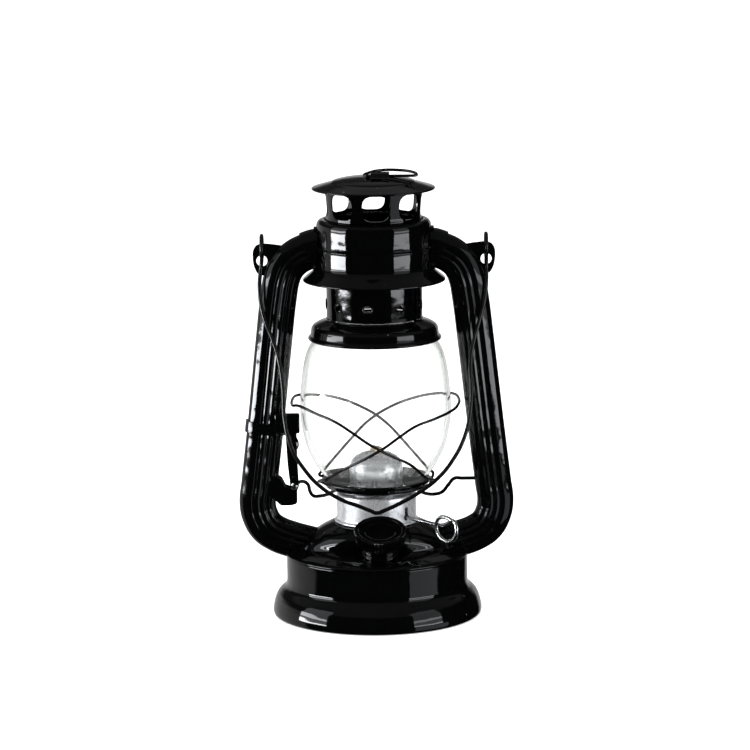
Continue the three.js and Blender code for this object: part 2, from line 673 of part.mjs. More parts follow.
const burner = new THREE.Group();
burner.add(
  part('burner_drum', burnerDrum(), zinc()),
  part('burner_plate', burnerPlate(), zinc()),
  part('burner_cone', burnerCone(), zinc()),
  part('wick_tube', wickTube(), zinc()),
  part('wick', wick(), cotton()),
  part('wick_wheels', wickWheels(), steel()),
  part('wick_spindle', wickSpindle(), steel()),
);
lamp.add(burner);

lamp.add(part('bail', bail(), blackWire()));

export default lamp;
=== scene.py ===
import math

import bpy
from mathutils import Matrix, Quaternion, Vector


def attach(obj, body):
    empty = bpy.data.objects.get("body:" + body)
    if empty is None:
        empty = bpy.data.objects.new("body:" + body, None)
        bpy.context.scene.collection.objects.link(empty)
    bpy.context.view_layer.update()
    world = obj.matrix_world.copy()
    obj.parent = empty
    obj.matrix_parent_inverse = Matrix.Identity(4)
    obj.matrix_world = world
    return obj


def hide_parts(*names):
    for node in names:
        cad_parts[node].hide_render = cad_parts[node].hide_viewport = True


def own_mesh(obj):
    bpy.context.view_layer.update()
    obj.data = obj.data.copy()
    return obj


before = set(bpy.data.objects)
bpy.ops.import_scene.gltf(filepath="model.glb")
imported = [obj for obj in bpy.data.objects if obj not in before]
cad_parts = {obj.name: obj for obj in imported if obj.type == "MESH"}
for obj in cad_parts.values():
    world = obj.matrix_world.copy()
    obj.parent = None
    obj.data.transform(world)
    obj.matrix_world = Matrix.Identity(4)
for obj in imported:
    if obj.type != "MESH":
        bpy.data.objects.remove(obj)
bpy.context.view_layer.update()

# A small tubular hurricane lantern: black enamel, clear globe, zinc burner, wire guard and bail.
# The lamp's sizes are in millimetres. The camera, the floor and the lights are in metres, as the
# scene itself is. An outline is a list of (radius, height) or (x, z), and a wire goes through
# points of (x, y, z).
MM = 0.001
SHEET = 0.8
GLASS = 1.5
SAME_PLACE = 0.000002


# ---------- camera ----------
def set_camera():
    bpy.ops.object.camera_add(location=(-0.0001, -1.9775, 0.4941))
    camera = bpy.context.object
    camera.rotation_mode = "QUATERNION"
    pitch = Quaternion((1, 0, 0), math.radians(90 - 10.397))
    roll = Quaternion((0, 0, 1), math.radians(-0.6))
    camera.rotation_quaternion = pitch @ roll
    camera.data.lens = 177.8
    camera.data.sensor_width = 36
    camera.data.clip_end = 50
    bpy.context.scene.camera = camera


# ---------- bench tools ----------
def clear_bench():
    if bpy.context.mode != "OBJECT":
        bpy.ops.object.mode_set(mode="OBJECT")
    bpy.ops.object.select_all(action="DESELECT")


def take(*pieces):
    clear_bench()
    for piece in pieces:
        piece.select_set(True)
    bpy.context.view_layer.objects.active = pieces[0]
    return pieces[0]


def name_it(name):
    piece = bpy.context.object
    piece.name = name
    piece.data.name = name
    return piece


def settle(piece):
    take(piece)
    bpy.ops.object.transform_apply(location=True, rotation=True, scale=True)
    return piece


def smooth(piece, angle=35):
    take(piece)
    bpy.ops.object.shade_smooth_by_angle(angle=math.radians(angle))
    return piece


def use(piece, kind, **settings):
    """Adds a modifier, sets it and applies it."""
    take(piece)
    bpy.ops.object.modifier_add(type=kind)
    modifier = piece.modifiers[-1]
    for key, value in settings.items():
        setattr(modifier, key, value)
    bpy.ops.object.modifier_apply(modifier=modifier.name)
    return piece


def joined(*pieces):
    take(*pieces)
    bpy.ops.object.join()
    return pieces[0]


def punch(piece, *tools):
    """Cuts the tools out of a piece and clears them away."""
    tool = joined(*tools) if len(tools) > 1 else tools[0]
    use(piece, "BOOLEAN", operation="DIFFERENCE", solver="EXACT", object=tool)
    take(tool)
    bpy.ops.object.delete()
    return piece


def copied(piece, name):
    take(piece)
    bpy.ops.object.duplicate(linked=False)
    return name_it(name)


def mirrored(piece, name):
    twin = copied(piece, name)
    twin.scale = (-1, 1, 1)
    settle(twin)
    outwards(twin)
    return twin


def outwards(piece):
    """Merges doubles and turns all faces outwards."""
    take(piece)
    bpy.ops.object.mode_set(mode="EDIT")
    bpy.ops.mesh.select_all(action="SELECT")
    bpy.ops.mesh.remove_doubles(threshold=SAME_PLACE)
    bpy.ops.mesh.normals_make_consistent(inside=False)
    bpy.ops.object.mode_set(mode="OBJECT")
    return piece


def turned_to(piece, turn=(0, 0, 0), place=(0, 0, 0)):
    piece.rotation_euler = [math.radians(a) for a in turn]
    piece.location = Vector(place) * MM
    return settle(piece)


# ---------- outlines ----------
def soften(outline, most=0.8, share=0.4, steps=4):
    """Rounds each corner of a closed outline, except on the axis, as pressed sheet is rounded."""
    points = [Vector(p) for p in outline]
    soft = []
    for i, here in enumerate(points):
        if here.x == 0:
            soft.append(here)
            continue
        before = points[i - 1] - here
        after = points[(i + 1) % len(points)] - here
        a = here + before.normalized() * min(most, share * before.length)
        b = here + after.normalized() * min(most, share * after.length)
        for k in range(steps + 1):
            t = k / steps
            soft.append((1 - t) ** 2 * a + 2 * t * (1 - t) * here + t * t * b)
    return soft


def flowing(points):
    """A smooth line through the points, in four steps from each to the next (Catmull-Rom)."""
    steps = 4
    points = [Vector(p) for p in points]
    ends = [2 * points[0] - points[1], *points, 2 * points[-1] - points[-2]]
    line = []
    for a, b, c, d in zip(ends, ends[1:], ends[2:], ends[3:]):
        for k in range(steps):
            t = k / steps
            line.append(0.5 * (2 * b + t * (c - a) + t * t * (2 * a - 5 * b + 4 * c - d)
                               + t ** 3 * (3 * b - a - 3 * c + d)))
    return [*line, points[-1]]


def divided(outline, longest):
    """Splits the long stretches, so that punched holes keep an even surface."""
    points = [Vector(p) for p in outline]
    split = []
    for here, after in zip(points, [*points[1:], points[0]]):
        count = max(1, math.ceil((after - here).length / longest))
        split += [here.lerp(after, k / count) for k in range(count)]
    return split


def inner_face(outer, thickness):
    """The inner face of a wall, for an outer face that is given from the foot upwards."""
    inner = []
    for i, here in enumerate(outer):
        along = outer[min(i + 1, len(outer) - 1)] - outer[max(i - 1, 0)]
        away = Vector((-along.y, along.x)).normalized()
        inner.append(here + away * thickness)
    return inner


# ---------- ways of making ----------
def spun(name, points, steps=128):
    """Turns an outline round the lamp's axis. It closes on itself or on the axis."""
    on_axis = points[0][0] == 0
    line = [Vector((r * MM, 0, z * MM)) for r, z in points]
    if not on_axis:
        line.append(line[0])
    clear_bench()
    bpy.ops.mesh.primitive_plane_add(size=MM)
    piece = name_it(name)
    bpy.ops.object.mode_set(mode="EDIT")
    bpy.ops.mesh.merge(type="CENTER")
    bpy.ops.transform.translate(value=line[0])
    for before, here in zip(line, line[1:]):
        bpy.ops.mesh.extrude_vertices_move(TRANSFORM_OT_translate={"value": here - before})
    bpy.ops.mesh.select_all(action="SELECT")
    bpy.ops.mesh.spin(steps=steps, angle=2 * math.pi, center=(0, 0, 0), axis=(0, 0, 1))
    outwards(piece)
    return smooth(piece)


def pressed(name, outline, steps=128, most=0.8, longest=None):
    """Turns an outline with softened corners, as sheet comes from the press."""
    points = soften(outline, most)
    if longest:
        points = divided(points, longest)
    return spun(name, points, steps)


def wire(name, points, radius, sides=3, steps=5):
    """A bent wire through the points, with lightly rounded cut ends."""
    line = [Vector(p) for p in points]
    first = (line[1] - line[0]).normalized() * radius * 0.5
    final = (line[-2] - line[-1]).normalized() * radius * 0.5
    line = [line[0], line[0] + first, *line[1:-1], line[-1] + final, line[-1]]
    sizes = [0.5, *[1.0] * (len(line) - 2), 0.5]
    clear_bench()
    bpy.ops.curve.primitive_bezier_curve_add()
    piece = name_it(name)
    curve = piece.data
    curve.splines.clear()
    curve.dimensions = "3D"
    curve.resolution_u = steps
    curve.bevel_depth = radius * MM
    curve.bevel_resolution = sides
    curve.use_fill_caps = True
    spline = curve.splines.new("BEZIER")
    spline.bezier_points.add(len(line) - 1)
    for knot, here, size in zip(spline.bezier_points, line, sizes):
        knot.co = here * MM
        knot.radius = size
        knot.handle_left_type = "AUTO"
        knot.handle_right_type = "AUTO"
    bpy.ops.object.convert(target="MESH")
    outwards(piece)
    return smooth(piece, 50)


def tube_section(points):
    """A closed curve, to be the section of a drawn tube."""
    clear_bench()
    bpy.ops.curve.primitive_nurbs_circle_add()
    section = bpy.context.object
    section.data.splines.clear()
    section.data.dimensions = "2D"
    spline = section.data.splines.new("POLY")
    spline.points.add(len(points) - 1)
    for knot, (x, y) in zip(spline.points, points):
        knot.co = (x * MM, y * MM, 0, 1)
    spline.use_cyclic_u = True
    return section


def drawn(name, route, section_points):
    """A tube of the given section along a route of (x, z) in the plane of the frame."""
    section = tube_section(section_points)
    clear_bench()
    bpy.ops.curve.primitive_bezier_curve_add()
    piece = name_it(name)
    curve = piece.data
    curve.splines.clear()
    curve.dimensions = "2D"
    curve.fill_mode = "NONE"
    curve.resolution_u = 6
    curve.bevel_mode = "OBJECT"
    curve.bevel_object = section
    curve.use_fill_caps = True
    spline = curve.splines.new("BEZIER")
    spline.bezier_points.add(len(route) - 1)
    for knot, (x, z) in zip(spline.bezier_points, route):
        knot.co = (x * MM, z * MM, 0)
        knot.handle_left_type = "AUTO"
        knot.handle_right_type = "AUTO"
    bpy.ops.object.convert(target="MESH")
    take(section)
    bpy.ops.object.delete()
    turned_to(piece, turn=(90, 0, 0))
    outwards(piece)
    return smooth(piece, 40)


def plate(name, outline, thickness, y, bevel):
    """A flat plate drawn in x and z, standing in the plane of the frame."""
    line = [Vector((x * MM, (y - thickness / 2) * MM, z * MM)) for x, z in outline]
    clear_bench()
    bpy.ops.mesh.primitive_plane_add(size=MM)
    piece = name_it(name)
    bpy.ops.object.mode_set(mode="EDIT")
    bpy.ops.mesh.merge(type="CENTER")
    bpy.ops.transform.translate(value=line[0])
    for before, here in zip(line, [*line[1:], line[0]]):
        bpy.ops.mesh.extrude_vertices_move(TRANSFORM_OT_translate={"value": here - before})
    bpy.ops.mesh.select_all(action="SELECT")
    bpy.ops.mesh.remove_doubles(threshold=SAME_PLACE)
    bpy.ops.mesh.select_all(action="SELECT")
    bpy.ops.mesh.edge_face_add()
    bpy.ops.mesh.extrude_region_move(TRANSFORM_OT_translate={"value": (0, thickness * MM, 0)})
    outwards(piece)
    if bevel:
        use(piece, "BEVEL", width=bevel * MM, segments=3, limit_method="ANGLE",
            angle_limit=math.radians(40))
    return smooth(piece, 40)


def rod(name, radius, length, turn=(0, 0, 0), place=(0, 0, 0), vertices=32):
    clear_bench()
    bpy.ops.mesh.primitive_cylinder_add(vertices=vertices, radius=radius * MM, depth=length * MM)
    return turned_to(name_it(name), turn, place)


def block(name, size, place):
    clear_bench()
    bpy.ops.mesh.primitive_cube_add(size=1)
    piece = name_it(name)
    piece.scale = Vector(size) * MM
    return turned_to(piece, place=place)


def fit(piece, body, slot, node):
    """Gives a piece its finish and its body, and lets it stand for a CAD node."""
    piece.data.materials.clear()
    piece.data.materials.append(FINISH[slot])
    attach(piece, body)
    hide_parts(node)


# ---------- finishes ----------
WICK_TOP = 92


class Amount:
    """A value that changes over a surface, with ordinary arithmetic."""

    def __init__(self, finish, socket):
        self.finish = finish
        self.socket = socket

    def maths(self, operation, a, b):
        return self.finish.node("ShaderNodeMath", {"operation": operation}, {0: a, 1: b})

    def __add__(self, other):
        return self.maths("ADD", self, other)

    def __sub__(self, other):
        return self.maths("SUBTRACT", self, other)

    def __rsub__(self, other):
        return self.maths("SUBTRACT", other, self)

    def __mul__(self, other):
        return self.maths("MULTIPLY", self, other)

    def __pow__(self, other):
        return self.maths("POWER", self, other)

    __radd__ = __add__
    __rmul__ = __mul__

    def over(self, edge):
        return self.maths("GREATER_THAN", self, edge)


class Finish:
    """One material, or the world, built node by node."""

    def __init__(self, owner):
        owner.use_nodes = True
        self.owner = owner
        self.tree = owner.node_tree
        self.tree.nodes.clear()

    def node(self, kind, settings=None, inputs=None, output=0):
        made = self.tree.nodes.new(kind)
        for key, value in (settings or {}).items():
            setattr(made, key, value)
        for key, value in (inputs or {}).items():
            if isinstance(value, Amount):
                self.tree.links.new(value.socket, made.inputs[key])
            else:
                made.inputs[key].default_value = value
        return Amount(self, made.outputs[output]) if made.outputs else None

    def place(self, stretch=(1, 1, 1)):
        at = self.node("ShaderNodeTexCoord", output="Object")
        return self.node("ShaderNodeMapping", inputs={"Vector": at, "Scale": stretch})

    def noise(self, scale, detail=2.0, stretch=(1, 1, 1)):
        return self.node("ShaderNodeTexNoise", {"noise_dimensions": "3D"},
                         {"Vector": self.place(stretch), "Scale": scale, "Detail": detail,
                          "Roughness": 0.5})

    def cells(self, scale, output="Distance", stretch=(1, 1, 1)):
        return self.node("ShaderNodeTexVoronoi", {"feature": "F1"},
                         {"Vector": self.place(stretch), "Scale": scale}, output)

    def between(self, value, low, high):
        """Goes softly from 0 to 1 while the value goes from low to high."""
        return self.node("ShaderNodeMapRange", {"interpolation_type": "SMOOTHSTEP"},
                         {"Value": value, "From Min": low, "From Max": high,
                          "To Min": 0.0, "To Max": 1.0})

    def blend(self, amount, low, high):
        """Mixes two colours. A colour Mix node has its factor and colours on inputs 0, 6 and 7."""
        return self.node("ShaderNodeMix", {"data_type": "RGBA"},
                         {0: amount, 6: low, 7: high}, output=2)

    def dents(self, height, strength, distance):
        return self.node("ShaderNodeBump", {},
                         {"Height": height, "Strength": strength, "Distance": distance})

    def surface(self, inputs):
        shader = self.node("ShaderNodeBsdfPrincipled", {}, inputs)
        self.node("ShaderNodeOutputMaterial", {}, {"Surface": shader})
        return self.owner


def grey(value, blue=0.0):
    return (value, value * (1 + blue / 2), value * (1 + blue), 1.0)


def new_finish(name):
    return Finish(bpy.data.materials.new(name))


def black_enamel():
    """Dipped and stoved enamel: deep black, wavy gloss, a little dust in it."""
    f = new_finish("black_enamel")
    waves = f.noise(95, 1.0)
    peel = f.noise(620, 2.0)
    dust = f.between(f.cells(210), 0.075, 0.045)
    kept = f.between(f.noise(60, 1.0), 0.60, 0.68)
    specks = dust * kept
    smear = f.between(f.noise(38, 4.0, (1, 1, 0.35)), 0.5, 0.75)
    return f.surface({
        "Base Color": f.blend(specks, grey(0.0007, 0.2), (0.20, 0.19, 0.17, 1)),
        "Roughness": 0.055 + smear * 0.05 + specks * 0.4,
        "IOR": 1.52,
        "Specular IOR Level": 0.3,
        "Normal": f.dents(waves * 0.85 + peel * 0.04, 0.22, 0.001),
    })


def black_wire():
    """The same enamel, thinner, on drawn wire."""
    f = new_finish("black_wire")
    runs = f.noise(240, 2.0)
    bare = f.between(f.noise(520, 3.0), 0.70, 0.76)
    return f.surface({
        "Base Color": f.blend(bare, grey(0.0015), grey(0.06)),
        "Roughness": 0.16 + runs * 0.12,
        "IOR": 1.5,
        "Normal": f.dents(runs, 0.3, 0.0005),
    })


def zinc_plate():
    """Galvanised sheet: soft spangles, brushed up and down, a few dull marks."""
    f = new_finish("zinc_plate")
    spangle = f.cells(330, "Color", stretch=(1, 1, 0.6))
    grain = f.node("ShaderNodeSeparateColor", {}, {0: spangle})
    brushed = f.noise(900, 3.0, (1, 1, 0.05))
    marks = f.between(f.noise(150, 4.0), 0.56, 0.70)
    tone = grain * 0.22 + brushed * 0.4 + marks * 0.22
    return f.surface({
        "Base Color": f.blend(tone, (0.93, 0.945, 0.96, 1), (0.6, 0.63, 0.66, 1)),
        "Metallic": 0.62,
        "Roughness": 0.24 + grain * 0.08 + marks * 0.14,
        "Normal": f.dents(brushed * 0.4 + grain * 0.08, 0.16, 0.0003),
    })


def bright_steel():
    """Nickelled wire and small turned parts."""
    f = new_finish("bright_steel")
    rubbed = f.noise(700, 3.0)
    return f.surface({
        "Base Color": f.blend(rubbed, grey(0.92), grey(0.62, 0.04)),
        "Metallic": 1.0,
        "Roughness": 0.14 + rubbed * 0.16,
        "Normal": f.dents(rubbed, 0.2, 0.0002),
    })


def clear_glass():
    """Blown soda glass, with faint waves from the mould, and a faint painted glow (emission) that
    lays a veil of painted light over what is seen through it.
    """
    f = new_finish("clear_glass")
    waves = f.noise(55, 1.0)
    edge = f.node("ShaderNodeLayerWeight", inputs={"Blend": 0.5}, output="Facing")
    return f.surface({
        "Base Color": f.blend(edge ** 2.2, (0.995, 1.0, 0.995, 1), (0.5, 0.54, 0.51, 1)),
        "Roughness": 0.0,
        "IOR": 1.45,
        "Transmission Weight": 1.0,
        # Painted light: the glass glows faintly, so what lies behind it looks greyer, as if light
        # washed over the glass.
        "Emission Color": (0.97, 1.0, 0.97, 1),
        "Emission Strength": 0.014,
        "Normal": f.dents(waves, 0.12, 0.0008),
    })


def cotton_wick():
    """Woven cotton, cream, scorched a little at its trimmed edge."""
    f = new_finish("cotton_wick")
    weave = f.node("ShaderNodeTexWave", {"wave_type": "BANDS", "bands_direction": "Z"},
                   {"Vector": f.place(), "Scale": 380.0, "Distortion": 1.5, "Detail": 1.0})
    ribs = f.noise(1500, 2.0, (1, 1, 0.15))
    at = f.node("ShaderNodeTexCoord", output="Object")
    height = f.node("ShaderNodeSeparateXYZ", {}, {0: at}, output=2)
    ragged = height + f.noise(900, 2.0) * 0.0014
    scorched = f.between(ragged, (WICK_TOP - 0.5) * MM, (WICK_TOP + 0.8) * MM)
    cream = f.blend(weave * 0.5 + ribs * 0.3, (0.86, 0.74, 0.55, 1), (0.62, 0.49, 0.33, 1))
    return f.surface({
        "Base Color": f.blend(scorched * 0.8, cream, (0.25, 0.16, 0.09, 1)),
        "Roughness": 0.9 + weave * 0.08,
        "Normal": f.dents(weave + ribs * 0.5, 0.6, 0.0003),
    })


def black_rubber():
    """Moulded rubber with a grey bloom."""
    f = new_finish("black_rubber")
    bloom = f.noise(400, 4.0)
    return f.surface({
        "Base Color": f.blend(bloom, grey(0.015), grey(0.045)),
        "Roughness": 0.65 + bloom * 0.2,
        "Normal": f.dents(bloom, 0.3, 0.0002),
    })


FINISH = {
    "black_enamel": black_enamel(), "black_wire": black_wire(), "zinc_plate": zinc_plate(),
    "bright_steel": bright_steel(), "clear_glass": clear_glass(), "cotton_wick": cotton_wick(),
    "black_rubber": black_rubber(),
}


# ---------- tank ----------
TANK_R = 49.4
SEAM_Z = 32.9
CAP_TILT = 20
CAP_POS = (1.8, -32.4, 37.3)

FOOT_AND_WALL = [
    (54.3, 0.2), (55.8, 0), (56.8, 0.5), (57.1, 1.8), (56.9, 4), (56.3, 6.8), (55.4, 9.6),
    (54.2, 11.8), (52.6, 13.4), (50.9, 14.7), (49.9, 16), (49.5, 17.6), (TANK_R, 19.6),
    (TANK_R, 26), (TANK_R, SEAM_Z),
]


def make_tank():
    outer = [Vector(p) for p in FOOT_AND_WALL]
    outline = [*outer, *reversed(inner_face(outer, SHEET))]
    body = pressed("tank_wall", outline, 160, longest=3)
    fit(body, "frame", "black_enamel", "tank_body")
    shoulder = [
        (TANK_R - 1.2, SEAM_Z + 0.3), (TANK_R + 0.5, SEAM_Z + 0.3), (TANK_R + 0.75, SEAM_Z + 0.7),
        (TANK_R + 0.6, 34.2), (48.4, 35.2), (43.6, 36.6), (34, 38.2), (24, 39.2), (12, 39.6),
        (12, 38.8), (24, 38.4), (34, 37.4), (43.6, 35.8), (47.6, 34.5),
    ]
    top = pressed("tank_shoulder", shoulder, 160, longest=3)
    drill = rod("drill", 7.6, 30, (CAP_TILT, 0, 0), CAP_POS)
    punch(top, drill)
    fit(smooth(top), "frame", "black_enamel", "tank_top")


def make_chamber():
    """The dome that gathers both side tubes under the burner, narrower from front to back."""
    top = 50.6
    outline = flowing([(16.8, top), (22, top), (24.4, 50.35), (26.6, 49.5), (31, 47.3),
                       (36, 43.9), (41, 39.3), (44.2, 35.6), (46.2, 32.8), (46.8, 31)])
    clear_bench()
    first = outline[0]
    bpy.ops.mesh.primitive_circle_add(vertices=128, radius=first.x * MM,
                                      location=(0, 0, first.y * MM))
    piece = settle(name_it("chamber_dome"))
    bpy.ops.object.mode_set(mode="EDIT")
    bpy.ops.mesh.select_all(action="SELECT")

    def depth(z):
        """The depth as a share of the width, which falls over the first 12 mm below the top."""
        return 1 - 0.34 * min(1, max(0, (top - z) / 12))

    for before, here in zip(outline, outline[1:]):
        bpy.ops.mesh.extrude_region_move(
            TRANSFORM_OT_translate={"value": (0, 0, (here.y - before.y) * MM)})
        wide = here.x / before.x
        deep = wide * depth(here.y) / depth(before.y)
        bpy.ops.transform.resize(value=(wide, deep, 1), center_override=(0, 0, here.y * MM))
    outwards(piece)
    use(piece, "SOLIDIFY", thickness=SHEET * MM, offset=-1)
    fit(smooth(piece), "frame", "black_enamel", "air_chamber")


def make_filler():
    beads = [
        (9.2, -4), (9.2, 2.2), (9.7, 2.8), (9.7, 3.9), (8.7, 4.6), (9.6, 5.3), (9.6, 6.5),
        (8.7, 7.2), (9.5, 7.9), (9.5, 9.1), (8.6, 9.7), (8.6, 14), (7.7, 14), (7.7, -4),
    ]
    neck = turned_to(pressed("neck_with_beads", beads, 96), (CAP_TILT, 0, 0), CAP_POS)
    fit(neck, "frame", "black_enamel", "filler_neck")
    outline = [
        (0, 16.4), (7.9, 16.4), (8.8, 16.9), (11.4, 16.9), (12.1, 17.7), (13.5, 17.8), (14.2, 17.2),
        (14.2, 15.4), (13.4, 14.4), (13.2, 12.2), (13.4, 11), (13.1, 10.4), (11.7, 10.4),
        (11.7, 15.3), (0, 15.3),
    ]
    spokes = 96
    cap = pressed("filler_cap", outline, spokes, 0.5)
    mill_rim(cap, spokes)
    turned_to(cap, (CAP_TILT, 0, 0), CAP_POS)
    fit(smooth(cap, 28), "fuel_cap", "black_enamel", "fuel_cap")


def mill_rim(cap, spokes):
    """Presses every other spoke of the cap's rim in, for the fingers to grip."""
    inside, top, shrink = 12.8, 17.5, 0.955
    take(cap)
    mesh = cap.data
    for vertex in mesh.vertices:
        spoke = round(math.degrees(math.atan2(vertex.co.y, vertex.co.x)) * spokes / 360)
        radius = math.hypot(vertex.co.x, vertex.co.y) / MM
        vertex.select = spoke % 2 == 0 and radius > inside and vertex.co.z / MM < top
    for edge in mesh.edges:
        edge.select = False
    for face in mesh.polygons:
        face.select = False
    bpy.ops.object.mode_set(mode="EDIT")
    bpy.ops.transform.resize(value=(shrink, shrink, 1), center_override=(0, 0, 0))
    bpy.ops.object.mode_set(mode="OBJECT")


# ---------- side tubes and crown ----------
TUBE_WIDE = 20
TUBE_DEEP = 14.6
TUBE_START = (-30.4, 200.8)
TUBE_ROUTE = [
    TUBE_START, (-31.6, 200.8), (-36, 199.4), (-42, 196.4), (-47, 191.5), (-50, 184.5),
    (-51.6, 176), (-54.7, 150.5), (-57.2, 128), (-59.6, 106.4), (-61.7, 88.6), (-63.7, 72),
    (-64.9, 61), (-63.6, 54), (-60, 47.6), (-54.5, 43.6), (-47, 40.6), (-38, 38), (-29, 35.6),
]
GROOVE_PLACES = (-4.9, -1.3, 2.3)
GROOVE_HALF = 1.5
GROOVE_DEPTH = 0.8


def flat_oval(grow=0.0, grooves=()):
    """The section of a side tube, with lengthwise grooves pressed in its two broad sides."""
    count = 120
    fullness = 0.86
    points = []
    for i in range(count):
        angle = 2 * math.pi * i / count
        c, s = math.cos(angle), math.sin(angle)
        x = math.copysign(abs(c) ** fullness, c) * (TUBE_WIDE / 2 + grow)
        y = math.copysign(abs(s) ** fullness, s) * (TUBE_DEEP / 2 + grow)
        for place in grooves:
            away = abs(x - place) / GROOVE_HALF
            if away < 1:
                y -= math.copysign(GROOVE_DEPTH * (0.5 + 0.5 * math.cos(math.pi * away)), y)
        points.append((x, y))
    return points


def make_tubes():
    left = drawn("left_hot_air_tube", TUBE_ROUTE, flat_oval(0, GROOVE_PLACES))
    right = mirrored(left, "right_hot_air_tube")
    lip = drawn("left_ferrule", [TUBE_START, (-31.6, 200.8), (-33.8, 200.2), (-36.4, 199.2)],
                flat_oval(0.9))
    flange = drawn("left_ferrule_flange", [TUBE_START, (-31.4, 200.8), (-32.4, 200.8)],
                   flat_oval(2.1))
    for piece in (lip, flange):
        use(piece, "BEVEL", width=0.35 * MM, segments=3, limit_method="ANGLE",
            angle_limit=math.radians(50))
    ferrule = smooth(joined(lip, flange))
    twin = mirrored(ferrule, "right_ferrule")
    fit(left, "frame", "black_enamel", "left_side_tube")
    fit(right, "frame", "black_enamel", "right_side_tube")
    fit(ferrule, "frame", "black_enamel", "left_tube_ferrule")
    fit(smooth(twin), "frame", "black_enamel", "right_tube_ferrule")


def make_crown():
    upper = [
        (31, 202.1), (31, 205.6), (31.12, 212.4), (31, 214), (30.7, 215.3), (29.8, 216.5),
        (28.4, 217), (26.7, 217), (26.7, 216.2), (28.3, 216.2), (29.4, 215.6), (30.1, 214.4),
        (30.2, 202.1),
    ]
    fit(pressed("crown_top", upper, 160, longest=3), "frame", "black_enamel",
        "crown_upper_shell")
    lower = [
        (31.3, 201.8), (31.2, 200.6), (31.25, 192.6), (31.6, 190.9), (33, 189.2), (36.4, 186.4),
        (38.5, 184.6), (38.6, 183.8), (38, 183.6), (36, 185.6), (32.4, 188.6), (30.9, 190.2),
        (30.4, 192.4), (30.4, 201.8),
    ]
    fit(pressed("crown_skirt", lower, 160, 0.6, 3), "frame", "black_enamel",
        "crown_lower_shell")


# ---------- chimney ----------
FLUE_R = 26
FLUE_HOLES = 9
FLUE_HOLE_Z = 171
HOOD_WINDOWS = 8
WINDOW_BOTTOM = 218.6
WINDOW_TOP = 232.2


def make_bell():
    bell = [
        (26.2, 163.4), (26.4, 162.6), (27.4, 161.9), (30.9, 160.7), (33.4, 159.3), (34.35, 157.9),
        (34.45, 157.1), (34.9, 153.9), (35.9, 153.1), (36.3, 152.2), (35.8, 151.5), (35, 151.6),
        (34.2, 153.6), (33.7, 157.3), (33, 158.4), (30.4, 159.8), (26.8, 161), (25.2, 162.2),
    ]
    fit(pressed("bell", bell, 144, 0.5), "chimney", "black_enamel", "globe_bell")


def make_flue():
    """The pipe, with a ring of round holes that have raised lips."""
    bottom, top = 163.5, 216.6
    inside = 25.2
    pipe = pressed("flue_pipe", [(FLUE_R, bottom), (FLUE_R, top), (inside, top), (inside, bottom)],
                   144, longest=1.3)
    drills = []
    lips = []
    step = 360 / FLUE_HOLES
    for i in range(FLUE_HOLES):
        angle = (i + 0.55) * step
        at = Vector((math.cos(math.radians(angle)), math.sin(math.radians(angle)), 0)) * FLUE_R
        drills.append(rod("drill", 2.1, 8, (0, 90, angle), (at.x, at.y, FLUE_HOLE_Z), 24))
        clear_bench()
        bpy.ops.mesh.primitive_torus_add(major_radius=2.45 * MM, minor_radius=0.4 * MM,
                                         major_segments=32, minor_segments=10)
        lips.append(turned_to(name_it("lip"), (0, 90, angle),
                              (at.x * 1.003, at.y * 1.003, FLUE_HOLE_Z)))
    punch(pipe, *drills)
    smooth(pipe)
    joined(pipe, *(smooth(lip) for lip in lips))
    fit(pipe, "chimney", "black_enamel", "chimney_tube")


def make_hood():
    """The wall with its ring of windows, and the dome that shelters them."""
    neck = pressed("hood_wall", [(26, 216.9), (25.7, 219), (26.5, 229), (27.3, 234.4),
                                 (26.5, 234.4), (25.7, 229), (24.9, 219), (25.2, 216.9)], 160,
                   longest=1.1)
    tools = []
    half = 7.3
    opening = soften([(-half, WINDOW_BOTTOM), (half, WINDOW_BOTTOM), (half, WINDOW_TOP),
                      (-half, WINDOW_TOP)], 5.6, 0.42, 8)
    step = 360 / HOOD_WINDOWS
    for i in range(HOOD_WINDOWS):
        tool = plate("window", opening, 10, -25.6, 0)
        tools.append(turned_to(tool, (0, 0, (i + 0.06) * step)))
    punch(neck, *tools)
    fit(smooth(neck), "chimney", "black_enamel", "hood_neck")
    cap = flowing([(0, 240.2), (4, 240.18), (10, 239.85), (16, 239.1), (20.6, 238.15)])
    cap += [(22.2, 237.6), (22.9, 237.0), (23.8, 236.75), (26.6, 236.05), (29.6, 235.15),
            (32.5, 234.35), (33.3, 234.0), (33.4, 233.5), (33, 233.1), (29, 234.3), (24, 235.7),
            (22.4, 236.2), (21.4, 236.9), (15.8, 238.2), (9.9, 239), (0, 239.3)]
    fit(spun("hood_dome", soften(cap, 0.35), 160), "chimney", "black_enamel", "hood_cap")


def make_hood_ring():
    """The wire ring, which swings in a bent strap off the middle of the hood."""
    x, y, z = 8.6, -8, 241
    side = [
        (y - 5.6, 239.6), (y - 2.5, 240.1), (y - 1.9, z + 0.9), (y, z + 1.6), (y + 1.9, z + 0.9),
        (y + 2.5, 240.4), (y + 6, 240.4), (y + 6, 241.1), (y + 3.1, 241.1), (y + 2.4, z + 1.5),
        (y, z + 2.3), (y - 2.4, z + 1.5), (y - 3.1, 240.8), (y - 5.6, 240.3),
    ]
    strap = plate("ring_strap", side, 10, 0, 0.2)
    turned_to(strap, (0, 0, 90), (x - 5, 0, 0))
    fit(strap, "chimney", "black_enamel", "hood_ring_strap")
    ring = wire("top_ring", [
        (x - 8, y, z), (x - 12.6, y + 0.6, z + 0.1), (x - 13.4, y + 2.4, z + 0.3),
        (x - 12, y + 6, z + 0.7), (x - 5, y + 13.2, z + 1.4), (x + 5, y + 13.6, z + 1.4),
        (x + 13, y + 8, z + 0.9), (x + 14.8, y + 2.6, z + 0.3), (x + 14, y + 0.4, z + 0.1),
        (x + 11, y, z), (x + 4, y, z), (x - 3, y, z), (x - 6.4, y, z),
    ], 0.8)
    fit(ring, "hood_ring", "black_wire", "hood_ring")


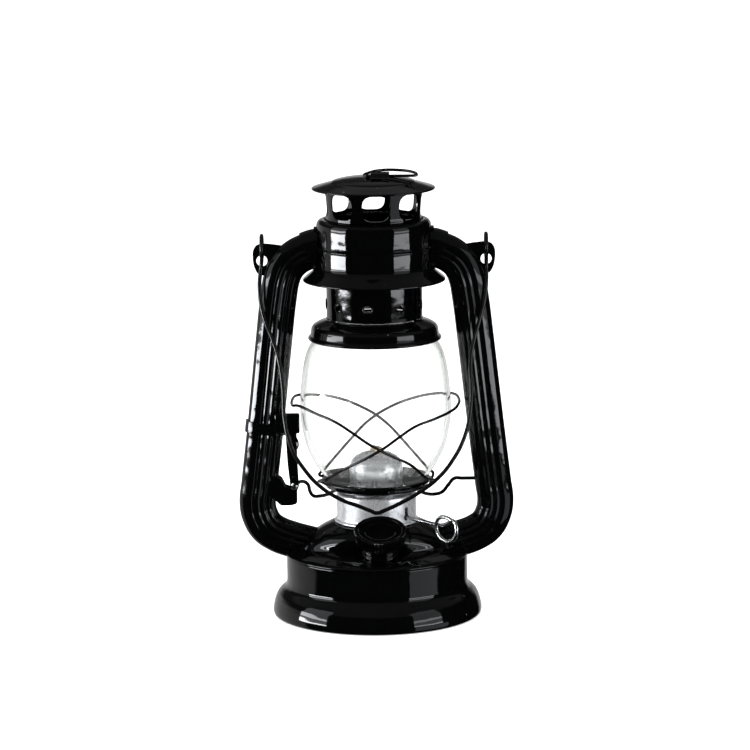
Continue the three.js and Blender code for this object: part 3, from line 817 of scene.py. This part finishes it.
def make_spring():
    """The spring in the crown, which the chimney presses together from below as it is raised."""
    low, high, turns = 188.1, 214.8, 5
    radius = 28.1
    count = turns * 14
    points = []
    for i in range(count + 1):
        angle = 2 * math.pi * turns * i / count
        points.append((radius * math.cos(angle), radius * math.sin(angle),
                       low + (high - low) * i / count))
    spring = wire("crown_spring", points, 0.6, 2, 3)
    fit(spring, "frame", "bright_steel", "chimney_spring")
    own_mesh(spring)


# ---------- bail and its ears ----------
BAIL_TILT = math.radians(14)
BAIL_PIVOT_Z = 201.5
EYE_X = 60.5
EYE_R = 6.7
BAIL_LEFT = [
    (-61.9, 21.9), (-59.7, 37.3), (-55.8, 47.9), (-52.1, 59.5), (-49.6, 77.5), (-49, 92.9),
    (-45.1, 108.9), (-38.7, 119.5), (-31.2, 128), (-20.4, 135.4), (-9.6, 139.7), (-3, 142.4),
    (-1, 143.3),
]
BAIL_RIGHT = [
    (1.2, 143.4), (3, 142.7), (12, 138.7), (22.8, 132.8), (33.5, 124.8), (42.1, 114.1),
    (47.5, 103.5), (50.4, 92.9), (51.6, 82.3), (51.6, 60.5), (53.8, 49.4), (56.6, 39.7),
    (59, 30.5), (60.4, 20),
]


def make_bail():
    def eye(side):
        angles = [BAIL_TILT + math.radians(15 + 30.5 * i) for i in range(11)]
        return [(side * EYE_X, -EYE_R * math.sin(a), BAIL_PIVOT_Z - EYE_R * math.cos(a))
                for a in angles]

    def hanging(x, down):
        return (x, -down * math.sin(BAIL_TILT), BAIL_PIVOT_Z - down * math.cos(BAIL_TILT))

    points = [*reversed(eye(-1)), *(hanging(*p) for p in BAIL_LEFT),
              *(hanging(*p) for p in BAIL_RIGHT), *eye(1)]
    fit(wire("carrying_bail", points, 1.1, 4, 6), "bail", "black_wire", "bail")


def make_ears():
    outline = [
        (-46.5, 202.2), (-52, 203.3), (-60, 204.2), (-63.6, 203.2), (-65.3, 200.4), (-65.6, 196.6),
        (-64.9, 191.4), (-62.8, 187), (-59, 186.4), (-52, 188), (-47.5, 194),
    ]
    ear = plate("left_ear", soften(outline, 2.0), 1.1, 0, 0.25)
    punch(ear, rod("drill", 3, 6, (90, 0, 0), (-60.5, 0, 194.6)))
    twin = mirrored(ear, "right_ear")
    fit(smooth(ear), "frame", "black_enamel", "left_bail_ear")
    fit(smooth(twin), "frame", "black_enamel", "right_bail_ear")


# ---------- globe, plate and guard ----------
def make_globe():
    outer = flowing([
        (25.2, 71), (26.4, 73.4), (27.6, 75.6), (30.3, 78.8), (34.3, 85.3), (37.6, 92.5),
        (39.7, 100.8), (40.9, 109), (41, 117), (40.4, 125.7), (39, 136.8), (36.9, 145),
        (33.2, 151.2), (28.8, 155.4), (25.9, 157.6),
    ])
    inner = inner_face(outer, GLASS)
    top = [outer[-1] + Vector((-0.4, 0.7)), inner[-1] + Vector((0.2, 0.5))]
    foot = [inner[0] + Vector((0.3, -0.5)), outer[0] + Vector((-0.5, -0.6))]
    globe = spun("glass_globe", [*outer, *top, *reversed(inner), *foot], 160)
    fit(globe, "globe_carrier", "clear_glass", "globe")
    dish = [
        (16.2, 69.3), (25, 69.3), (27.6, 70.4), (28.8, 72.4), (29.6, 73.2), (29.8, 73.9),
        (29.5, 74.6), (28.8, 74.9), (28.1, 74.4), (27.9, 72.8), (27, 71.2), (24.8, 70.2),
        (17.1, 70.2), (17.1, 71.4), (16.2, 71.4),
    ]
    fit(pressed("globe_dish", dish, 144, 0.4), "globe_carrier", "black_enamel", "globe_plate")


GUARD_SIDE = [
    (-30.4, -7.6, 74.1), (-31.2, -8.8, 74.6), (-30.6, -11, 75.4), (-27, -20, 78.2),
    (-17.6, -32.2, 85.8), (-6.8, -39.4, 92.4), (4, -42.2, 99), (12.4, -43, 105.2),
    (20.8, -41.8, 110.6), (31.6, -35.6, 113.6), (41, -24.2, 115.8), (44.9, -10.4, 117),
    (45.3, 3, 117.4), (42.4, 19.6, 117), (33.6, 33.2, 114.6), (21, 41.2, 110.6),
    (9, 44.4, 105.4), (-2.8, 44.4, 98.4), (-14.4, 36.6, 88.4), (-24.6, 23.6, 79.4),
    (-30.6, 11, 75.2), (-31.2, 9, 74.5), (-30.4, 8, 74.0),
]


def rim_run(start, end):
    """Points along the rim of the dish, from one angle to another."""
    radius = 30.55
    angles = [math.radians(start + (end - start) * i / 8) for i in range(9)]
    return [(radius * math.cos(a), radius * math.sin(a), 73.9) for a in angles]


def make_guard():
    """Two crossed wires. The right one is moved clear of the left one where they pass."""
    for side, name, node in ((1, "guard_left", "guard_wire_left"),
                             (-1, "guard_right", "guard_wire_right")):
        points = []
        for x, y, z in [*rim_run(258, 199), *GUARD_SIDE, *rim_run(163, 120)]:
            if side < 0 and abs(x) < 24 and z > 76:
                y += 2.2 if y > 0 else -3.8
            if side < 0 and y < -20 and z > 80:
                z += 3.4
            elif side < 0 and z < 74.05:
                z -= 1.5
            points.append((side * x, y, z))
        fit(wire(name, points, 0.8), "globe_carrier", "black_wire", node)


# ---------- globe lift ----------
RIVET_R = 0.9


def make_lift_wire():
    """The wire that carries the globe's dish, bent round behind the burner."""
    bends = [math.pi * (0.06 + 0.88 * i / 12) for i in range(13)]
    rear = [(26.4 * math.cos(a), 26.4 * math.sin(a), 64.5) for a in bends]
    points = [
        (55.4, 0, 73.6), (47, 0, 73.6), (42.5, 0, 73.5), (39.3, 0, 70), (35.8, 0, 66),
        (31.4, 0.6, 64.7), *rear, (-31, 0.6, 64.3), (-34.4, 0, 64.6), (-36.2, 0, 67),
        (-37.3, -0.2, 71), (-40, -1, 72.9), (-43, -2.8, 72.4), (-44.7, -5.2, 71.6),
        (-44.7, -9, 71.6),
    ]
    fit(wire("lifting_wire", points, 1.0), "lift_wire", "black_wire", "lift_wire")


def make_lift_strip():
    """The strip on the left tube that is pulled to lift the globe, with its rivets."""
    blade = plate("pull_strip", [
        (-46.6, 69.4), (-45.6, 68.6), (-43.9, 68.6), (-42.9, 69.4), (-42, 71.8), (-42.6, 84),
        (-42.9, 99), (-42.9, 108.5), (-48.9, 108.5), (-48.9, 99), (-48.1, 84), (-47, 73.6),
    ], 0.9, -7.4, 0.2)
    punch(blade, rod("drill", 1.75, 6, (90, 0, 0), (-44.7, -7.4, 71.6)))
    for z in (92.8, 76.6):
        clear_bench()
        bpy.ops.mesh.primitive_uv_sphere_add(segments=20, ring_count=10, radius=RIVET_R * MM)
        rivet = name_it("rivet")
        rivet.scale = (1, 0.45, 1)
        settle(rivet)
        turned_to(rivet, place=(-45.2 + (z - 92.8) * -0.03, -7.85, z))
        joined(blade, rivet)
    fit(smooth(blade), "lift_strip", "black_enamel", "lift_strip")


def make_lift_holders():
    """The spring and the clip that hold the strip, and the bracket that stops the wire."""
    spring = wire("strip_spring", [
        (-43.9, -8.9, 100.6), (-43.3, -8.9, 99), (-42.3, -8.9, 96.4), (-42.5, -8.9, 93.6),
        (-44, -8.9, 92.2), (-45.6, -8.9, 93.8), (-46.2, -8.9, 97), (-46.4, -8.9, 100.4),
    ], 0.5)
    fit(spring, "frame", "black_wire", "clip_spring")
    clip_band = drawn("tube_clip", [(-59.63, 106.1), (-59.95, 103.1), (-60.28, 100.1)],
                      flat_oval(1.1))
    guide = block("guide", (13.6, 4.4, 10.8), (-48, -7.4, 106.5))
    use(guide, "BEVEL", width=0.9 * MM, segments=4)
    slot = block("slot", (7.8, 1.9, 20), (-45.7, -7.4, 106))
    punch(guide, slot)
    joined(clip_band, guide)
    fit(smooth(clip_band), "frame", "black_enamel", "lift_clip")
    bracket = plate("stop_bracket", [
        (-58, 77.5), (-53.4, 76.4), (-51.4, 75), (-49.4, 71), (-47.2, 70.2), (-43.6, 69.9),
        (-43.1, 69.4), (-43.1, 62.4), (-43.7, 61.4), (-46.4, 60.6), (-51.9, 60.6), (-58, 66),
    ], 8.2, -2.2, 0.3)
    punch(bracket, block("inside", (15.9, 6.4, 40), (-52.05, -2.2, 65)))
    fit(smooth(bracket), "frame", "black_enamel", "lift_bracket")


# ---------- burner ----------
BURNER_TURN = -50.5
SPINDLE_Y = 3.3
SPINDLE_Z = 55.3


def make_burner():
    wall = 20.7
    drum_outline = [
        (13.4, 42), (13.4, 50.9), (22.5, 50.9), (23, 51.3), (22.9, 52), (22.2, 52.3),
        (21.75, 52.9), (21.7, 65.2), (21.45, 66.4), (20.7, 67), (15.6, 67), (15.6, 66.3),
        (20.4, 66.3), (20.9, 65.4), (21, 52), (12.4, 51.9), (12.4, 42),
    ]
    drum = pressed("burner_body", drum_outline, 144, 0.5, 1.5)
    turn = (0, 0, BURNER_TURN)
    hole = turned_to(rod("drill", 1.9, 8, (0, 90, 0), (wall, SPINDLE_Y, SPINDLE_Z)), turn)
    slot = turned_to(block("slot", (8, 2.6, 5.4), (wall, SPINDLE_Y, 58)), turn)
    punch(drum, hole)
    punch(drum, slot)
    fit(smooth(drum), "frame", "zinc_plate", "burner_drum")
    cone_outline = [
        (14.6, 67.6), (14.6, 73.2), (14.45, 73.5), (14.45, 73.9), (14.6, 74.2), (14.6, 80),
        (14.35, 82), (13.5, 84.2), (11.7, 86.2), (8, 88.3), (4, 89.3), (0, 89.6), (0, 88.8),
        (4, 88.5), (7.8, 87.6), (11, 85.6), (12.9, 83.6), (13.9, 81.2), (13.9, 67.6),
    ]
    cone = pressed("flame_cone", cone_outline, 128, 0.9, 1.5)
    mouth = turned_to(block("slot", (12, 6, 20), (0, 0, 90)), turn)
    punch(cone, mouth)
    fit(smooth(cone), "frame", "zinc_plate", "burner_cone")


def make_wick():
    """The flat wick, with its trimmed top edge left a little ragged."""
    length = 76
    strip = block("flat_wick", (8, 1.6, length), (0, 0, WICK_TOP - length / 2))
    take(strip)
    bpy.ops.object.mode_set(mode="EDIT")
    bpy.ops.mesh.select_all(action="SELECT")
    bpy.ops.mesh.bevel(offset=0.35 * MM, segments=3, affect="EDGES")
    bpy.ops.mesh.select_all(action="SELECT")
    bpy.ops.mesh.subdivide(number_cuts=7)
    bpy.ops.mesh.select_all(action="DESELECT")
    bpy.ops.object.mode_set(mode="OBJECT")
    for vertex in strip.data.vertices:
        vertex.select = vertex.co.z > (WICK_TOP - 0.8) * MM
    bpy.ops.object.mode_set(mode="EDIT")
    bpy.ops.transform.vertex_random(offset=0.0003, uniform=0.3, normal=0.4, seed=4)
    bpy.ops.object.mode_set(mode="OBJECT")
    turned_to(strip, (0, 0, BURNER_TURN))
    fit(smooth(strip, 60), "wick", "cotton_wick", "wick")


def make_spindle():
    """The wick spindle, with its end bent into a loop to hold between finger and thumb."""
    shaft = [(-5, 0, 0), (10, 0, 0), (25, 0, 0), (38, 0, 0), (45, 0, 0)]
    bend = [(50, 0, 0.3), (54.4, 0, 1.7), (58.8, -0.1, 4.1), (61.2, -0.2, 4.2)]
    loop = []
    for i in range(15):
        angle = math.radians(30 - i * 20)
        loop.append((56.4 + 7.4 * math.cos(angle), -0.4 - 0.18 * i, -0.5 + 6.8 * math.sin(angle)))
    tail = [(60, -3.1, 6.1), (63.4, -3.2, 5.2)]
    spindle = wire("wick_key", [*shaft, *bend, *loop, *tail], 1.1)
    turned_to(spindle, place=(0, SPINDLE_Y, SPINDLE_Z))
    turned_to(spindle, (0, 0, BURNER_TURN))
    fit(spindle, "wick_spindle", "bright_steel", "wick_spindle")


# ---------- nodes whose own shape is kept ----------
KEPT = {
    "tank_bottom": "black_enamel", "burner_collar": "zinc_plate", "cap_gasket": "black_rubber",
    "spring_stop_ring": "zinc_plate", "burner_plate": "zinc_plate", "wick_tube": "zinc_plate",
    "wick_wheels": "bright_steel",
}


def keep_inner_nodes():
    for name, slot in KEPT.items():
        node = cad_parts[name]
        for place in node.material_slots:
            place.material = FINISH[slot]


# ---------- floor and light ----------
def make_floor():
    clear_bench()
    bpy.ops.mesh.primitive_plane_add(size=12, location=(0, 0, -0.0002))
    floor = name_it("studio_floor")
    paper = new_finish("floor_paper")
    floor.data.materials.append(paper.surface({"Base Color": (0.93, 0.93, 0.93, 1),
                                               "Roughness": 0.9, "Emission Strength": 0.4}))
    floor.visible_glossy = False


def panel(name, place, aim, size, watts, colour, seen_soft=False):
    """A flat studio light. It either shows in gloss and through glass, or lights softly."""
    clear_bench()
    bpy.ops.object.light_add(type="AREA", location=place)
    light = bpy.context.object
    light.name = name
    light.rotation_mode = "QUATERNION"
    light.rotation_quaternion = (Vector(place) - Vector(aim)).to_track_quat("Z", "Y")
    light.data.shape = "RECTANGLE"
    light.data.size, light.data.size_y = size
    light.data.energy = watts
    light.data.color = colour
    light.visible_camera = False
    light.visible_diffuse = seen_soft
    light.visible_glossy = not seen_soft
    light.visible_transmission = not seen_soft


# Metres here. The two windows: side, bearing, width, bottom edge, and how bright each pane is,
# from the lowest up. A bearing is counted in degrees from the front, and left is positive.
WINDOW_DISTANCE = 1.2
PANE_TOPS = (0.07, 0.17, 0.3, 1.0)
WINDOWS = (
    ("left", 76, 0.78, -0.008, (34, 2.2, 14, 1.6)),
    ("right", -57, 0.74, -0.02, (7.5, 1.4, 5, 0.9)),
)


def pane(name, bearing, width, bottom, top, bright, colour):
    """One pane of a soft window, upright and facing the lamp."""
    side = math.radians(bearing)
    height = (bottom + top) / 2
    place = (-WINDOW_DISTANCE * math.sin(side), -WINDOW_DISTANCE * math.cos(side), height)
    size = (width, top - bottom)
    panel(name, place, (0, 0, height), size, bright * math.pi * size[0] * size[1], colour)


def make_lights():
    for side, bearing, width, bottom, bright in WINDOWS:
        edges = (bottom, *PANE_TOPS)
        for i, radiance in enumerate(bright):
            pane(f"{side}_window_{i + 1}", bearing, width, edges[i], edges[i + 1], radiance,
                 (0.94, 0.96, 1.0))
    pane("right_table_glow", -61, 0.86, -0.6, -0.06, 1.1, (0.9, 0.93, 1.0))
    panel("top_light", (-0.2, -0.5, 1.6), (0, 0, 0.1), (1.2, 1.2), 30, (1, 1, 1), True)


def make_world():
    """White all round, but gloss mirrors a dark room with one pale sheet and a faint ceiling."""
    world = bpy.data.worlds.new("studio")
    bpy.context.scene.world = world
    world.cycles.sampling_method = "NONE"
    f = Finish(world)
    toward = f.node("ShaderNodeTexCoord", output="Generated")
    x, y, z = (f.node("ShaderNodeSeparateXYZ", {}, {0: toward}, output=i) for i in range(3))
    sheet = f.between(x * -0.545 + y * 0.839, 0.42, 0.54)
    high = f.between(z, 0.05, 0.28)
    ceiling = f.between(z, 0.42, 0.55)
    mirrored_light = 0.004 + sheet * (0.62 - high * 0.58) + ceiling * 0.12
    bounced = f.node("ShaderNodeLightPath", output="Glossy Depth").over(0.5)
    scattered = f.node("ShaderNodeLightPath", output="Diffuse Depth").over(0.5)
    strength = bounced * (mirrored_light - 1.0) + 1.0 + scattered * 0.15
    shader = f.node("ShaderNodeBackground", {}, {"Color": (1, 1, 1, 1), "Strength": strength})
    f.node("ShaderNodeOutputWorld", {}, {"Surface": shader})
    bpy.context.scene.view_settings.view_transform = "Standard"


set_camera()
make_tank()
make_chamber()
make_filler()
make_tubes()
make_crown()
make_bell()
make_flue()
make_hood()
make_hood_ring()
make_spring()
make_bail()
make_ears()
make_globe()
make_guard()
make_lift_wire()
make_lift_strip()
make_lift_holders()
make_burner()
make_wick()
make_spindle()
keep_inner_nodes()
make_floor()
make_lights()
make_world()
